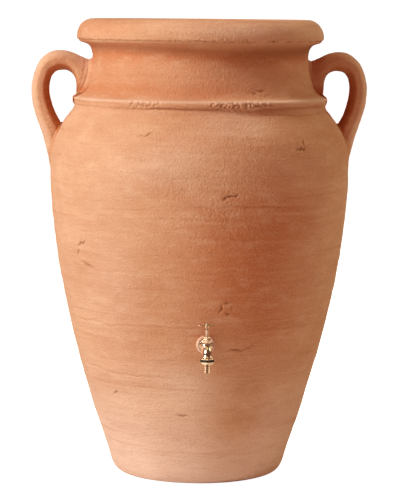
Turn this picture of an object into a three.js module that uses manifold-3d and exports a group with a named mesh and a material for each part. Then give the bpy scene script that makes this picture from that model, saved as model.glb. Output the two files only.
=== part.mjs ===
// Amphora-shaped rain barrel: a hollow moulded vessel with two ear handles, a recessed screw-down
// lid, and a brass bib tap with a hose union on its front.
// Millimetres, +Z up. The origin is the centre of the flat base; the tap faces -Y and the handles
// stand out along +X and -X.
import * as THREE from "three";
import { mergeVertices } from "three/addons/utils/BufferGeometryUtils.js";
import Module from "manifold-3d";

// ---------------------------------------------------------------- driving dimensions
const HEIGHT = 1150;
const WALL = 5;
const GAP = 0.3; // clearance between pieces that seat on each other

const BASE_FLAT_R = 196;
const BELLY_R = 378.5;
const RIDGE_R = 323.5;
const NECK_R = 272.5;
const RIM_R = 311.5;
const RIM_LIP_Z = 1099; // sharp lower edge of the rim
const RIM_ROUND_Z = 1112; // where the rim's side starts to round over
const RIM_TOP_R = 275; // where that round meets the flat top
const MOUTH_R = 262;
const LEDGE = { radius: 240, top: 1120, bottom: 1112 }; // the lid's seat inside the rim

const LID = { radius: 259.5, low: 1124, high: 1129, crown: 1141, wall: 4 };
const LID_SKIRT = { radius: 237, bottom: 1104 };
const GRIP_CUP = { radius: 56, floor: 1108 };
const GRIP_BAR = { width: 24, height: 9 };
const SCREW_CIRCLE_R = 251;
const SCREW_COUNT = 3;
const LID_SCREW = { shank: 3.9, head: 9.5, headHeight: 8, tip: 1111 };
const LID_WASHER = { bore: 4.3, radius: 9, thickness: 1.4 };
const LID_INSERT = { bore: 4.3, radius: 6 };

const TAP_Z = 369.5; // height of the tap's inlet axis
const BOSS = { radius: 23, face: 332, back: 306, bevel: 3 }; // measured out from the vessel's axis
const INSERT = { radius: 16, bore: 10.9, flange: 20 };

// Tap pieces are measured from the centre of the boss's face, with -Y outwards.
const STUB = { radius: 10.5, length: 18 };
const NECKPIPE_R = 9.6;
const WATERWAY_R = 6.5;
const CHAMBER = { y: -38, radius: 15, bore: 11.6, bottom: -15, top: 10 };
const SEAT = { top: -1, radius: 5.5 };
const SPOUT = { radius: 10, bore: 5, bend: 19 };
const NOZZLE = { y: CHAMBER.y - SPOUT.bend, radius: 13, bottom: -30.5, flange: 14.2 };
const BONNET_HEX = 24; // hexagons are measured across their flats
const GLAND_HEX = 16;
const JUMPER_NUT_HEX = 6.4;
const SPINDLE_R = 3.5;
const BAR = { z: 53.5, half: 18.2, radius: 2, ball: 2.7 };
const UNION = { hex: 30, top: -21.5, bottom: -36.4, thread: 13.4, lip: 9.2, ledge: -34.4 };
const GRIP_RING = { low: -30.6, high: -25.2, inner: 14.6, outer: 16.9 };
const TAIL = { flange: 12.8, neck: 8.7, bore: 6, end: -58, barbs: 3, pitch: 5.6 };

const VESSEL_SIDES = 32;
const TAP_SIDES = 16;
const BODY_SIDES = 18;
const SMALL_SIDES = 12;
const TINY_SIDES = 10;

// The vessel's side from the top of the base corner to the foot of the ridge, as [radius, z].
const SIDE = [
  [226, 45],
  [242, 100],
  [284, 230],
  [324, 380],
  [351, 505],
  [368, 620],
  [377, 720],
  [BELLY_R, 780],
  [376, 815],
  [366, 855],
  [345, 890],
  [323, 922],
];
// The hollow neck from the top of the ridge to the underside of the rim.
const NECK = [
  [317, 958],
  [299, 968],
  [284, 992],
  [276.5, 1020],
  [NECK_R, 1050],
  [276, 1072],
  [289, 1088],
];
// Sections of the right handle, from inside the neck to inside the shoulder, as
// [outer x, outer z, inner x, inner z, half width].
const HANDLE_SECTIONS = [
  [262, 1054, 262, 958, 42],
  [282, 1056, 286, 961, 40],
  [300, 1061, 304, 970, 37],
  [319, 1068, 313, 991, 34],
  [345, 1070, 323, 1015, 32],
  [375, 1067, 341, 1021, 31],
  [399, 1051, 359, 1016, 30],
  [416, 1021, 372, 1000, 30],
  [426, 979, 377, 977, 30],
  [422, 943, 374, 951, 30],
  [412, 905, 364, 922, 31],
  [400, 876, 352, 897, 32],
  [392, 846, 334, 872, 33],
  [386, 814, 330, 840, 34],
  [378, 776, 332, 796, 32],
  [368, 744, 336, 756, 26],
];
const HANDLE_RINGS = 20;
const HANDLE_SIDES = 12;

// ---------------------------------------------------------------- materials
const paint = (color, roughness, metalness) =>
  new THREE.MeshStandardMaterial({ color, roughness, metalness });
const TERRACOTTA = paint(0xd08a5c, 0.9, 0);
const LID_CLAY = paint(0xc47f52, 0.85, 0);
const BRASS = paint(0xc9a878, 0.22, 1);
const RUBBER = paint(0x1c1a18, 0.8, 0);
const FIBRE = paint(0x6b3a2a, 0.85, 0);
const STEEL = paint(0xb8b6b0, 0.3, 1);

// ---------------------------------------------------------------- solid helpers
const wasm = await Module();
wasm.setup();

const points = (pairs) => pairs.map(([r, z]) => new THREE.Vector2(r, z));

// A closed three.js geometry as a manifold-3d solid.
function solid(geometry) {
  const bare = geometry.index ? geometry.toNonIndexed() : geometry.clone();
  bare.deleteAttribute("normal");
  bare.deleteAttribute("uv");
  const merged = mergeVertices(bare, 1e-3);
  return new wasm.Manifold(
    new wasm.Mesh({
      numProp: 3,
      vertProperties: merged.attributes.position.array,
      triVerts: new Uint32Array(merged.index.array),
    }),
  );
}

// A manifold-3d solid back as a three.js geometry.
function shape(made) {
  const { numProp, numVert, vertProperties, triVerts } = made.getMesh();
  const position = new Float32Array(numVert * 3);
  for (let i = 0; i < numVert; i++)
    position.set(vertProperties.subarray(i * numProp, i * numProp + 3), i * 3);
  return new THREE.BufferGeometry()
    .setAttribute("position", new THREE.BufferAttribute(position, 3))
    .setIndex(new THREE.BufferAttribute(triVerts, 1));
}

// The first geometry with the others joined to it or cut from it.
const join = (first, ...rest) => rest.reduce((made, g) => made.add(solid(g)), solid(first));
const cut = (made, ...rest) => rest.reduce((left, g) => left.subtract(solid(g)), made);

// A profile of [radius, z] pairs turned about the Z axis, outside first and upwards.
const turned = (profile, sides = TAP_SIDES) =>
  new THREE.LatheGeometry(points(profile), sides).rotateX(Math.PI / 2);

// A ring with square edges, from inner to outer radius and between two heights.
const ring = (inner, outer, low, high, sides = TAP_SIDES) =>
  turned([[outer, low], [outer, high], [inner, high], [inner, low], [outer, low]], sides);

// An upright cylinder between two heights.
const rod = (radius, low, high, sides = TAP_SIDES) =>
  turned([[0, low], [radius, low], [radius, high], [0, high]], sides);

// An upright hexagonal prism, measured across its flats.
const hexagon = (acrossFlats, low, high) => rod(acrossFlats / Math.sqrt(3), low, high, 6);

const alongY = (geometry) => geometry.rotateX(Math.PI / 2); // its +Z becomes -Y

const part = new THREE.Group();

function add(name, geometry, material, parent = part) {
  const mesh = new THREE.Mesh(geometry, material);
  mesh.name = name;
  parent.add(mesh);
  return mesh;
}

// ---------------------------------------------------------------- vessel
// The outer surface from the base corner to the flat top of the rim, as [radius, z] pairs.
function outerOutline(grow = 0) {
  const corner = new THREE.QuadraticBezierCurve(
    new THREE.Vector2(BASE_FLAT_R, 0),
    new THREE.Vector2(SIDE[0][0] - 7, 2),
    new THREE.Vector2(...SIDE[0]),
  ).getPoints(4);
  const side = new THREE.SplineCurve(points(SIDE)).getPoints(11);
  const ridge = points([[320, 931], [RIDGE_R, 938], [RIDGE_R - 0.5, 948]]);
  const neck = new THREE.SplineCurve(points(NECK)).getPoints(6);
  const lip = points([[RIM_R - 6.5, RIM_LIP_Z - 5], [RIM_R, RIM_LIP_Z]]);
  const rim = new THREE.EllipseCurve(
    RIM_TOP_R,
    RIM_ROUND_Z,
    RIM_R - RIM_TOP_R,
    HEIGHT - RIM_ROUND_Z,
    0,
    Math.PI / 2,
  ).getPoints(4);
  const line = [...corner, ...side.slice(1), ...ridge, ...neck, ...lip, ...rim];
  return line.map((p) => [p.x + grow, p.y]);
}

// The inner surface, from the ledge up round the hollow rim and down to the centre of the floor.
function innerOutline() {
  const collar = [
    [MOUTH_R + WALL, LEDGE.bottom],
    [MOUTH_R + WALL, HEIGHT - WALL],
    [RIM_TOP_R + WALL, HEIGHT - WALL],
    [RIM_R - WALL, RIM_ROUND_Z],
    [RIM_R - WALL, RIM_LIP_Z + 2],
    [NECK_R - 2, 1076],
  ];
  const neck = [
    [NECK_R - WALL, 1050],
    [277, 990],
    [294, 965],
    [315, 952],
    [317, 922],
  ];
  const side = SIDE.slice(1, -1).reverse();
  const floor = [
    [221, 45],
    [212, 16],
    [194, WALL],
    [0, WALL],
  ];
  return [...collar, ...neck, ...side.map(([r, z]) => [r - WALL, z]), ...floor];
}

function vesselShell() {
  const mouth = [
    [MOUTH_R + 3, HEIGHT],
    [MOUTH_R, HEIGHT - 4],
    [MOUTH_R, LEDGE.top],
    [LEDGE.radius, LEDGE.top],
    [LEDGE.radius, LEDGE.bottom],
  ];
  const outline = [[0, 0], ...outerOutline(), ...mouth, ...innerOutline()];
  const boss = [
    [0, BOSS.back],
    [BOSS.radius, BOSS.back],
    [BOSS.radius, BOSS.face - BOSS.bevel],
    [BOSS.radius - BOSS.bevel, BOSS.face],
    [0, BOSS.face],
  ];
  const tapHole = rod(INSERT.radius + GAP, BOSS.back - 1, BOSS.face + 1, BODY_SIDES);
  const screwHole = (angle) =>
    atScrew(rod(LID_INSERT.radius + GAP, LEDGE.bottom - 1, LEDGE.top + 1, TINY_SIDES), angle);
  const whole = join(
    turned(outline, VESSEL_SIDES),
    alongY(turned(boss, 24)).translate(0, 0, TAP_Z),
  );
  return shape(
    cut(whole, alongY(tapHole).translate(0, 0, TAP_Z), ...screwAngles().map(screwHole)),
  );
}

// A closed loft through the handle's sections, each an ellipse between its outer and inner point.
function handleLoft() {
  const track = (x, z) =>
    new THREE.SplineCurve(points(HANDLE_SECTIONS.map((s) => [s[x], s[z]])));
  const outer = track(0, 1);
  const inner = track(2, 3);
  const width = track(4, 4);
  const position = [];
  const centreOf = (t) => outer.getPoint(t).add(inner.getPoint(t)).multiplyScalar(0.5);
  for (let i = 0; i < HANDLE_RINGS; i++) {
    const t = i / (HANDLE_RINGS - 1);
    const centre = centreOf(t);
    const out = outer.getPoint(t).sub(centre);
    for (let j = 0; j < HANDLE_SIDES; j++) {
      const turn = (2 * Math.PI * j) / HANDLE_SIDES;
      position.push(
        centre.x + out.x * Math.cos(turn),
        width.getPoint(t).x * Math.sin(turn),
        centre.y + out.y * Math.cos(turn),
      );
    }
  }
  for (const t of [0, 1]) position.push(centreOf(t).x, 0, centreOf(t).y);
  const start = HANDLE_RINGS * HANDLE_SIDES;
  const index = [];
  for (let j = 0; j < HANDLE_SIDES; j++) {
    const k = (j + 1) % HANDLE_SIDES;
    const last = start - HANDLE_SIDES;
    index.push(start, j, k, start + 1, last + k, last + j);
    for (let a = 0; a < last; a += HANDLE_SIDES) {
      const b = a + HANDLE_SIDES;
      index.push(a + j, b + j, a + k, a + k, b + j, b + k);
    }
  }
  return new THREE.BufferGeometry()
    .setAttribute("position", new THREE.Float32BufferAttribute(position, 3))
    .setIndex(index);
}

// The handle with the vessel's outside, plus the gap, cut away from its roots.
const handle = () =>
  shape(
    cut(solid(handleLoft()), turned([[0, 0], ...outerOutline(GAP), [0, HEIGHT]], VESSEL_SIDES)),
  );

// ---------------------------------------------------------------- lid
const screwAngles = () =>
  Array.from({ length: SCREW_COUNT }, (_, i) => Math.PI / 2 + (i * 2 * Math.PI) / SCREW_COUNT);

const atScrew = (geometry, angle) =>
  geometry.translate(SCREW_CIRCLE_R * Math.cos(angle), SCREW_CIRCLE_R * Math.sin(angle), 0);

// A shallow dome with a flange to screw down, a skirt, and a cup bridged by a grip bar.
function lidPanel() {
  const outline = [
    [0, GRIP_CUP.floor - LID.wall],
    [GRIP_CUP.radius, GRIP_CUP.floor - LID.wall],
    [GRIP_CUP.radius + 5, LID.crown - LID.wall],
    [225, 1131],
    [LID_SKIRT.radius - LID.wall, LID.low],
    [LID_SKIRT.radius - LID.wall, LID_SKIRT.bottom],
    [LID_SKIRT.radius, LID_SKIRT.bottom],
    [LID_SKIRT.radius, LID.low],
    [LID.radius, LID.low],
    [LID.radius, LID.high],
    [238, LID.high],
    [228, 1135],
    [GRIP_CUP.radius + 4, LID.crown],
    [GRIP_CUP.radius, LID.crown - 1],
    [GRIP_CUP.radius - 5, GRIP_CUP.floor],
    [0, GRIP_CUP.floor],
  ];
  const length = 2 * GRIP_CUP.radius + 4;
  const bar = new THREE.BoxGeometry(length, GRIP_BAR.width, GRIP_BAR.height);
  bar.translate(0, 0, LID.crown - 1 - GRIP_BAR.height / 2);
  const screwHole = (angle) =>
    atScrew(rod(LID_SCREW.shank + 0.6, LID.low - 4, LID.high + 4, TINY_SIDES), angle);
  return shape(cut(join(turned(outline, VESSEL_SIDES), bar), ...screwAngles().map(screwHole)));
}

// A thumb screw with a slotted head.
function lidScrew() {
  const low = LID.high + LID_WASHER.thickness + 2 * GAP;
  const high = low + LID_SCREW.headHeight;
  const body = [
    [0, LID_SCREW.tip],
    [LID_SCREW.shank - 1, LID_SCREW.tip],
    [LID_SCREW.shank, LID_SCREW.tip + 1],
    [LID_SCREW.shank, low],
    [LID_SCREW.head, low],
    [LID_SCREW.head, high - 2],
    [LID_SCREW.head - 2, high],
    [0, high],
  ];
  const slot = new THREE.BoxGeometry(15, 2, 4).translate(0, 0, high);
  return shape(cut(solid(turned(body, SMALL_SIDES)), slot));
}

function lidWasher() {
  const low = LID.high + GAP;
  return ring(LID_WASHER.bore, LID_WASHER.radius, low, low + LID_WASHER.thickness, SMALL_SIDES);
}

const lidInsert = () =>
  ring(LID_INSERT.bore, LID_INSERT.radius, LEDGE.bottom, LEDGE.top - GAP, TINY_SIDES);

const lidSeal = () => ring(240.8, 244.2, LEDGE.top + GAP, LID.low - GAP, VESSEL_SIDES);

// ---------------------------------------------------------------- tap
// The threaded bush moulded into the boss, flanged on the inside of the wall.
function bossInsert() {
  const length = BOSS.face - BOSS.back;
  const outline = [
    [INSERT.radius, -length - GAP],
    [INSERT.radius, -GAP],
    [INSERT.bore, -GAP],
    [INSERT.bore, -length - 3],
    [INSERT.flange, -length - 3],
    [INSERT.flange, -length - GAP],
    [INSERT.radius, -length - GAP],
  ];
  return alongY(turned(outline, BODY_SIDES));
}

// A round tube from the valve chamber forwards and down to the nozzle.
function spoutBend(radius, startTurn) {
  const spread = Math.PI / 2 - startTurn;
  const track = new THREE.CatmullRomCurve3(
    Array.from({ length: 9 }, (_, i) => {
      const turn = startTurn + (spread * i) / 8;
      return new THREE.Vector3(
        0,
        CHAMBER.y - SPOUT.bend * Math.sin(turn),
        SEAT.top - SPOUT.bend * (1 - Math.cos(turn)),
      );
    }),
  );
  const section = new THREE.Shape().absarc(0, 0, radius, 0, 2 * Math.PI);
  return new THREE.ExtrudeGeometry(section, { steps: 6, extrudePath: track, curveSegments: 7 });
}

// Inlet stub, collar, valve chamber, spout and nozzle in one casting.
function tapBody() {
  const chamber = [
    [0, CHAMBER.bottom],
    [7, CHAMBER.bottom + 0.8],
    [12.5, -10],
    [CHAMBER.radius, -3.5],
    [CHAMBER.radius, CHAMBER.top - 1.5],
    [CHAMBER.radius - 1, CHAMBER.top],
    [0, CHAMBER.top],
  ];
  const nozzle = [
    [0, NOZZLE.bottom],
    [NOZZLE.radius - 0.6, NOZZLE.bottom],
    [NOZZLE.radius, NOZZLE.bottom + 0.8],
    [NOZZLE.radius, -21],
    [NOZZLE.flange, -20.8],
    [NOZZLE.flange, -19.2],
    [SPOUT.radius, -16.5],
    [0, -16.5],
  ];
  const inlet = [
    [0, -STUB.length],
    [STUB.radius - 0.8, -STUB.length],
    [STUB.radius, 1 - STUB.length],
    [STUB.radius, 3],
    [16, 3],
    [16, 6.5],
    [11.5, 8.5],
    [NECKPIPE_R, 12],
    [NECKPIPE_R, 32],
    [0, 32],
  ];
  const whole = join(
    turned(chamber, BODY_SIDES).translate(0, CHAMBER.y, 0),
    turned(nozzle, BODY_SIDES).translate(0, NOZZLE.y, 0),
    alongY(turned(inlet, BODY_SIDES)),
    spoutBend(SPOUT.radius, 0),
  );
  return shape(
    cut(
      whole,
      rod(CHAMBER.bore, SEAT.top, CHAMBER.top + 1).translate(0, CHAMBER.y, 0),
      rod(SEAT.radius, -9, 0, SMALL_SIDES).translate(0, CHAMBER.y, 0),
      alongY(rod(4.6, 14, 4 - CHAMBER.y, TINY_SIDES)).translate(0, 0, -7),
      alongY(rod(WATERWAY_R, -STUB.length - 1, 16.5, SMALL_SIDES)),
      spoutBend(SPOUT.bore, 0.62),
      rod(WATERWAY_R, NOZZLE.bottom - 1, -19, SMALL_SIDES).translate(0, NOZZLE.y, 0),
    ),
  );
}

function bonnet() {
  const core = [
    [9.2, 2],
    [11.2, 2],
    [11.2, 16.3],
    [9.4, 22],
    [6.1, 22],
    [6.1, 25.4],
    [5.2, 25.4],
    [5.2, 21.4],
    [3.9, 21.4],
    [3.9, 19.2],
    [5.4, 19.2],
    [5.4, 9],
    [9.2, 9],
    [9.2, 2],
  ];
  const hex = cut(solid(hexagon(BONNET_HEX, 11.9, 20.4)), rod(9.6, 10, 22));
  return shape(solid(turned(core)).add(hex));
}

function glandNut() {
  const low = 22.3;
  const high = 28;
  const blank = turned([[0, low], [9, low], [9, high - 1.6], [6.5, high], [0, high]]);
  const hex = solid(hexagon(GLAND_HEX, low, high)).intersect(solid(blank));
  return shape(cut(hex, rod(6.4, low - 1, high - 2.1), rod(3.9, high - 3, high + 1)));
}

const glandPacking = () => ring(3.8, 4.9, 21.7, 25.4);

const bonnetGasket = () => ring(11.5, 13.6, CHAMBER.top + 0.2, 11.6);

function spindle() {
  const shaft = [
    [0, 4.4],
    [5, 4.4],
    [5, 14],
    [SPINDLE_R, 14.3],
    [SPINDLE_R, BAR.z - 7],
    [3, BAR.z - 6.7],
    [3, BAR.z + 1.5],
    [0, BAR.z + 1.5],
  ];
  const jumperHole = rod(2.4, 4, 10.5, SMALL_SIDES);
  const screwHole = rod(1.7, BAR.z - 4.5, BAR.z + 2.5, TINY_SIDES);
  return shape(cut(solid(turned(shaft)), jumperHole, screwHole));
}

function teeHandle() {
  const hub = [
    [0, -6.6],
    [3.9, -6.6],
    [4.8, -4],
    [4.8, 2.3],
    [3.8, 3.5],
    [0, 3.5],
  ];
  const ball = (side) =>
    new THREE.SphereGeometry(BAR.ball, 8, 6).translate(side * (BAR.half - BAR.ball), 0, 0);
  const bar = rod(BAR.radius, 2 - BAR.half, BAR.half - 2, 8).rotateY(Math.PI / 2);
  const whole = join(turned(hub), bar, ball(-1), ball(1));
  return shape(cut(whole, rod(3.3, -8, 1.9), rod(1.7, 1.5, 4.5, TINY_SIDES)));
}

function handleScrew() {
  const outline = [[0, -3], [1.3, -3], [1.3, 3.8], [3, 3.8], [3, 4.7], [1.8, 5.7], [0, 5.7]];
  return turned(outline, SMALL_SIDES);
}

// The valve disc, with a pin up into the spindle and a stud down through its washer.
function jumper() {
  const outline = [
    [0, -3.4],
    [1.8, -3.4],
    [1.8, 2.1],
    [8.5, 2.1],
    [8.5, 4.1],
    [2, 4.1],
    [2, 9.8],
    [0, 9.8],
  ];
  return turned(outline);
}

const jumperWasher = () => ring(2.2, 8.2, SEAT.top + GAP, 1.8);

const jumperNut = () =>
  shape(cut(solid(hexagon(JUMPER_NUT_HEX, -3.1, -1.1)), rod(2.1, -4, 0, SMALL_SIDES)));

// A hexagon with bevelled ends and a groove for its grip ring, open below for the hose tail.
function unionNut() {
  const corner = 17.4;
  const face = 15;
  const blank = turned(
    [
      [0, UNION.bottom],
      [face, UNION.bottom],
      [corner, UNION.bottom + 2],
      [corner, UNION.top - 2],
      [face, UNION.top],
      [0, UNION.top],
    ],
    BODY_SIDES,
  );
  const { low, high, inner } = GRIP_RING;
  return shape(
    cut(
      solid(hexagon(UNION.hex, UNION.bottom, UNION.top)).intersect(solid(blank)),
      rod(UNION.thread, UNION.ledge, UNION.top + 1, BODY_SIDES),
      rod(UNION.lip, UNION.bottom - 1, UNION.ledge + 0.4, BODY_SIDES),
      ring(inner - GAP, corner + 3, low - GAP, high + GAP, BODY_SIDES),
    ),
  );
}

const nutGripRing = () =>
  ring(GRIP_RING.inner, GRIP_RING.outer, GRIP_RING.low, GRIP_RING.high, BODY_SIDES);

// A flange held by the nut, and a spigot with barbs for the hose.
function hoseTail() {
  const root = TAIL.neck - 1.1;
  const barbs = Array.from({ length: TAIL.barbs }, (_, i) => {
    const low = TAIL.end + 1 + i * TAIL.pitch;
    return [[TAIL.neck, low + 4.6], [root, low + 4.8]];
  }).flat();
  return turned([
    [TAIL.bore, TAIL.end],
    [root - 0.5, TAIL.end],
    [root - 0.2, TAIL.end + 1],
    ...barbs,
    [TAIL.neck - 0.4, -39],
    [TAIL.neck, -38.4],
    [TAIL.neck, -34.1],
    [TAIL.flange, -34.1],
    [TAIL.flange, -32.6],
    [TAIL.bore, -32.6],
    [TAIL.bore, TAIL.end],
  ]);
}

const unionWasher = () => ring(TAIL.bore, TAIL.flange - 0.2, -32.3, NOZZLE.bottom - GAP);

// ---------------------------------------------------------------- assembly
add("vessel_shell", vesselShell(), TERRACOTTA);
add("right_handle", handle(), TERRACOTTA);
add("left_handle", handle(), TERRACOTTA).rotation.z = Math.PI;

add("lid_panel", lidPanel(), LID_CLAY);
add("lid_seal", lidSeal(), RUBBER);
screwAngles().forEach((angle, i) => {
  add(`lid_screw_${i + 1}`, atScrew(lidScrew(), angle), LID_CLAY);
  add(`lid_screw_washer_${i + 1}`, atScrew(lidWasher(), angle), STEEL);
  add(`lid_insert_${i + 1}`, atScrew(lidInsert(), angle), BRASS);
});

const tap = new THREE.Group();
tap.position.set(0, -BOSS.face, TAP_Z);
part.add(tap);
add("boss_insert", bossInsert(), BRASS, tap);
add("inlet_washer", alongY(ring(10.9, 15.5, GAP, 3 - GAP)), RUBBER, tap);
add("tap_body", tapBody(), BRASS, tap);

const headwork = new THREE.Group();
headwork.position.y = CHAMBER.y;
tap.add(headwork);
add("bonnet", bonnet(), BRASS, headwork);
add("bonnet_gasket", bonnetGasket(), FIBRE, headwork);
add("gland_packing", glandPacking(), FIBRE, headwork);
add("gland_nut", glandNut(), BRASS, headwork);
add("spindle", spindle(), BRASS, headwork);
add("tee_handle", teeHandle(), BRASS, headwork).position.z = BAR.z;
add("handle_screw", handleScrew(), STEEL, headwork).position.z = BAR.z;
add("jumper", jumper(), BRASS, headwork);
add("jumper_washer", jumperWasher(), RUBBER, headwork);
add("jumper_nut", jumperNut(), BRASS, headwork);

const hoseUnion = new THREE.Group();
hoseUnion.position.y = NOZZLE.y;
tap.add(hoseUnion);
add("union_nut", unionNut(), BRASS, hoseUnion);
add("nut_grip_ring", nutGripRing(), RUBBER, hoseUnion);
add("union_washer", unionWasher(), RUBBER, hoseUnion);
add("hose_tail", hoseTail(), BRASS, hoseUnion);

export default part;
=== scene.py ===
"""Looks of an amphora-shaped rain barrel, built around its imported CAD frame.

Metres, +Z up. The origin is the centre of the base, the tap faces -Y, and the handles stand out
along +X and -X. Outlines are written in millimetres and scaled by MM where they are used.
"""
import math

import bpy
import numpy as np
from mathutils import Matrix, Vector


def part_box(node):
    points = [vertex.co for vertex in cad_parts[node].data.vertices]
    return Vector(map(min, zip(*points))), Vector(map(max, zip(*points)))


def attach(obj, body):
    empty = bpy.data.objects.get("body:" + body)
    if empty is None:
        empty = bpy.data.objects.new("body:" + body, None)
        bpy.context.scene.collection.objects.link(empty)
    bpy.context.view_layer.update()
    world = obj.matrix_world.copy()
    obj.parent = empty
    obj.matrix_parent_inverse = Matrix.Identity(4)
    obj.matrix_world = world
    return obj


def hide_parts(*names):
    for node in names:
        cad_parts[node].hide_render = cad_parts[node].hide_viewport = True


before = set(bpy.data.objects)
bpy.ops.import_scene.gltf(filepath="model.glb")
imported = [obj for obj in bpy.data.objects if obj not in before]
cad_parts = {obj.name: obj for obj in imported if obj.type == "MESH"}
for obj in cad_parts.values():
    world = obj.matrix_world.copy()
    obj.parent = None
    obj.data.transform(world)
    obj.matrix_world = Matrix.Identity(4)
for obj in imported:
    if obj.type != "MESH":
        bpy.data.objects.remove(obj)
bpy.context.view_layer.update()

MM = 0.001

# ---- measures from the frame
def box_middle(node, axis):
    """Where a CAD node's box is centred along one axis, in metres."""
    low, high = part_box(node)
    return (low[axis] + high[axis]) / 2


SHELL_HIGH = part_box("vessel_shell")[1]
HEIGHT = SHELL_HIGH.z / MM
BELLY_R = SHELL_HIGH.y / MM
HANDLE_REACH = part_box("right_handle")[1].x / MM - 0.1
WASHER_GAP = 0.3 * MM  # what the CAD leaves between the inlet washer and the boss
BOSS_FACE_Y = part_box("inlet_washer")[1].y + WASHER_GAP
TAP_Z = box_middle("inlet_washer", 2)
# Where the boss's face, the valve chamber and the nozzle are centred, in mm.
TAP = np.array([0, BOSS_FACE_Y, TAP_Z]) / MM
STEM = np.array([0, box_middle("spindle", 1), TAP_Z]) / MM
NOZZLE = np.array([0, box_middle("union_nut", 1), TAP_Z]) / MM

# ---- outlines, [radius, z] in mm
BASE_CORNER = [(188, 0), (199, 1.2), (208.5, 6.5), (216, 17), (221.5, 31), (226, 48)]
SIDE = [
    (226, 48), (242, 100), (263, 160), (284, 230), (304, 300), (324, 380), (342, 460),
    (357, 540), (368, 620), (375, 695), (378.2, 770), (376.4, 812), (366.5, 853), (348, 887),
    (335, 906), (326.5, 917),
]
RIDGE = [
    (326.5, 917), (321.5, 923), (318.2, 929), (318.6, 933.5), (321.4, 937), (323.2, 942),
    (323.6, 948), (322.4, 952.5), (318.5, 955.2), (312, 957.5),
]
NECK = [
    (312, 957.5), (304.5, 961.5), (296.5, 969), (289, 981), (282.5, 999), (277, 1018),
    (274, 1040), (273.2, 1056), (274.6, 1068), (277.5, 1077), (283, 1084),
]
LIP = [(283, 1084), (291, 1087.6), (299, 1089.8), (304, 1092), (306.8, 1095), (308, 1097.6)]
RIM = [
    (308, 1097.6), (310.8, 1099.2), (311.5, 1103), (311.3, 1110), (309.8, 1119), (306.8, 1127),
    (302, 1135), (296, 1141), (288.5, 1146), (280, 1149.2), (274, 1150),
]
MOUTH = [(274, 1150), (265.5, 1150), (262.9, 1148.6), (262, 1145.5), (262, 1112.5), (264, 1112)]
HOLLOW_RIM = [
    (264, 1112), (267, 1112), (267, 1143), (270, 1145), (281, 1145), (296, 1134), (306, 1114),
    (306.5, 1101), (300, 1097), (274, 1078),
]
INSIDE = [
    (274, 1078), (267.5, 1050), (270.5, 1020), (277, 990), (292, 967), (315, 952), (317, 926),
    (340, 890), (361, 855), (371, 815), (373.3, 772), (363, 620), (337, 460), (299, 300),
    (258, 160), (222, 46), (213, 16), (196, 5),
]

# Sections of a handle from inside the neck to inside the shoulder, as
# (outer x, outer z, inner x, inner z, half width) in mm.
HANDLE_SECTIONS = [
    (262, 1044, 290, 935, 42), (280, 1047, 306, 944, 40), (300, 1054, 313, 960, 37),
    (318, 1062, 312, 979, 34), (336, 1067.5, 314.5, 997, 32.5), (354, 1069.5, 323.5, 1012, 31.5),
    (374, 1066, 338, 1019.5, 31), (392, 1056, 353, 1020, 30.5), (407, 1040, 366, 1015, 30),
    (418, 1016, 375.5, 1002, 30), (424.5, 988, 380, 982, 30), (425.2, 960, 379, 958, 30),
    (421, 930, 372.5, 933, 30), (412, 900, 363, 908, 31), (402, 872, 349, 885, 32),
    (393, 844, 334, 860, 33), (386, 814, 326, 834, 34), (379, 782, 330, 798, 32),
    (369, 746, 336, 756, 26),
]

# ---- numbers and curves
def hashed(x, y, z, seed):
    """Repeatable pseudo-random values from -1 to 1 on whole-number lattice points."""
    mask = 0xFFFFFFFF
    n = (x * 374761393 + y * 668265263 + z * 1274126177 + seed * 974634777) & mask
    n = ((n ^ (n >> 13)) * 1274126177) & mask
    return ((n ^ (n >> 16)) & 0xFFFF) / 32767.5 - 1


def noise(points, seed):
    """Smooth lattice noise from -1 to 1 at an (n, 3) array of points."""
    cell = np.floor(points).astype(np.int64)
    part = points - cell
    part = part * part * (3 - 2 * part)
    total = np.zeros(len(points))
    for corner in np.ndindex(2, 2, 2):
        weight = np.ones(len(points))
        for axis, side in enumerate(corner):
            weight = weight * (part[:, axis] if side else 1 - part[:, axis])
        total += weight * hashed(*(cell[:, k] + corner[k] for k in range(3)), seed)
    return total


def layered(points, seed, octaves=3):
    """Several octaves of lattice noise."""
    return sum(noise(points * 2**k, seed + k) / 2**k for k in range(octaves))


def smooth_line(points, step):
    """A Catmull-Rom curve through the points, evened out to about this step."""
    p = np.array(points, float)
    p = np.vstack([2 * p[0] - p[1], p, 2 * p[-1] - p[-2]])
    t = np.linspace(0, 1, 24, endpoint=False)[:, None]
    fine = []
    for a, b, c, d in zip(p[:-3], p[1:-2], p[2:-1], p[3:]):
        fine.append(
            0.5 * (2 * b + (c - a) * t + (2 * a - 5 * b + 4 * c - d) * t**2
                   + (3 * b - a - 3 * c + d) * t**3)
        )
    fine = np.vstack([*fine, p[-2:-1]])
    return evenly(fine, step)


def evenly(line, step):
    """A polyline resampled at about this step, with its ends kept."""
    run = np.concatenate([[0], np.cumsum(np.linalg.norm(np.diff(line, axis=0), axis=1))])
    count = max(2, int(round(run[-1] / step)) + 1)
    even = np.linspace(0, run[-1], count)
    return np.column_stack([np.interp(even, run, column) for column in line.T])


def filleted(points, radius, steps=4):
    """A polyline with each inner corner rounded off by a short curve."""
    p = [np.array(q, float) for q in points]
    out = [p[0]]
    for before, corner, after in zip(p[:-2], p[1:-1], p[2:]):
        reach = [min(radius, 0.45 * np.linalg.norm(q - corner)) for q in (before, after)]
        ends = [
            corner + (q - corner) / max(np.linalg.norm(q - corner), 1e-9) * r
            for q, r in zip((before, after), reach)
        ]
        for t in np.linspace(0, 1, steps):
            out.append((1 - t) ** 2 * ends[0] + 2 * t * (1 - t) * corner + t**2 * ends[1])
    return np.array([*out, p[-1]])


def bell(x, width):
    return np.exp(-((x / width) ** 2))


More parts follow.
